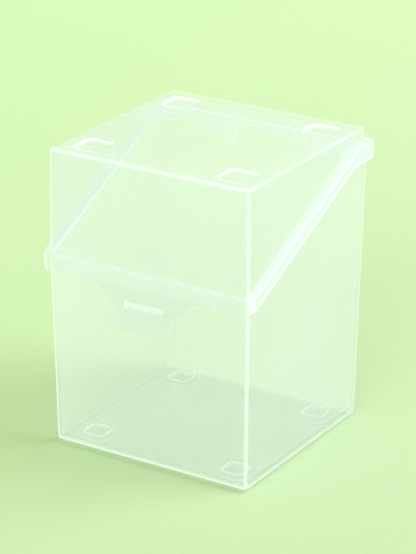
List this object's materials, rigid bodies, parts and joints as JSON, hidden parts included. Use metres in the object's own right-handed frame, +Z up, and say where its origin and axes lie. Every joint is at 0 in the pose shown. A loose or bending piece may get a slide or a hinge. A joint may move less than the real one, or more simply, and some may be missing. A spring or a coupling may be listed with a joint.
{
  "type": "card deck box",
  "caption": "Upright translucent deck box for sleeved cards: tapered tub with a slanting mouth, hinged lid with overlapping skirt, front snap tongue, and feet and pockets for stacking.",
  "frame": {"origin": "on the surface the box stands on, under the middle of its overall bounding box", "axes": "+Z up, -Y the front with the latch tongue, +X to the right seen from the front"},
  "size_m": [0.0798, 0.081, 0.101],
  "materials": {
    "tub_plastic": "milky clear polypropylene, smooth satin",
    "lid_plastic": "milky clear polypropylene, smooth satin"
  },
  "bodies": {
    "tub": {"tub_shell": "tub_plastic", "base_feet": "tub_plastic", "latch_catch": "tub_plastic", "hinge_brackets": "tub_plastic", "hinge_axles": "tub_plastic"},
    "lid": {"lid_shell": "lid_plastic", "hinge_clips": "lid_plastic"},
    "tongue": {"latch_tongue": "lid_plastic"}
  },
  "joints": [
    {"name": "lid_hinge", "type": "hinge", "parent": "tub", "child": "lid", "pos_m": [0, 0.03837, 0.0883], "axis": [-1, 0, 0], "range_deg": [0, 180]},
    {"name": "tongue_flex", "type": "hinge", "parent": "lid", "child": "tongue", "pos_m": [0, -0.03767, 0.0622], "axis": [-1, 0, 0], "range_deg": [0, 12], "stiffness_Nm_per_rad": 0.3}
  ]
}
